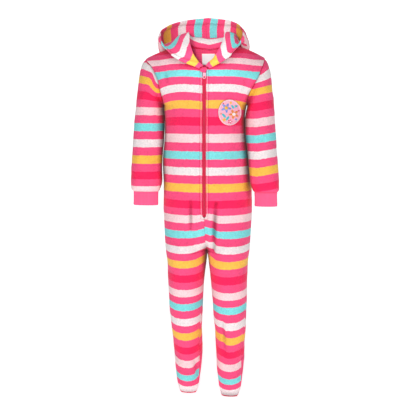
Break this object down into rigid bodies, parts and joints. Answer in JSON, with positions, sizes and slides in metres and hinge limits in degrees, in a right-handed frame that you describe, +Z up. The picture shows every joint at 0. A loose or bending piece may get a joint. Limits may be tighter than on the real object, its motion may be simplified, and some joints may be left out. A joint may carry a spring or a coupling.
{
  "type": "pajama jumpsuit",
  "caption": "Hooded, footed child's sleepsuit in striped fleece with a long front zip, ribbed cuffs, a round chest patch and a hood lying open on the shoulders",
  "frame": {"origin": "between the shoulders, at the height of the neck's side, where the wearer carries the garment", "axes": "+Z up, the front faces -Y, +X is the wearer's left"},
  "size_m": [0.4449, 0.2687, 1.1838],
  "materials": {
    "front_left": "matte",
    "front_right": "matte",
    "back_left": "matte",
    "back_right": "matte",
    "sleeve_left": "matte",
    "sleeve_right": "matte",
    "hood_left": "matte",
    "hood_right": "matte",
    "sole_left": "matte",
    "sole_right": "matte",
    "cuff_left": "matte",
    "cuff_right": "matte",
    "zip_tape": "matte",
    "zip_slider": "enamelled",
    "zip_pull": "enamelled",
    "chest_patch": "matte",
    "chin_guard": "matte",
    "neck_facing": "matte",
    "neck_label": "matte"
  },
  "bodies": {
    "garment": {"front_left": "front_left", "front_right": "front_right", "back_left": "back_left", "back_right": "back_right", "sleeve_left": "sleeve_left", "sleeve_right": "sleeve_right", "hood_left": "hood_left", "hood_right": "hood_right", "sole_left": "sole_left", "sole_right": "sole_right", "cuff_left": "cuff_left", "cuff_right": "cuff_right", "zip_tape": "zip_tape", "zip_slider": "zip_slider", "chest_patch": "chest_patch", "chin_guard": "chin_guard", "neck_facing": "neck_facing", "neck_label": "neck_label"},
    "pull_tab": {"zip_pull": "zip_pull"}
  },
  "joints": [
    {"name": "pull_swing", "type": "hinge", "parent": "garment", "child": "pull_tab", "pos_m": [0, -0.0967, -0.0785], "axis": [-1, 0, 0], "range_deg": [0, 150]}
  ]
}
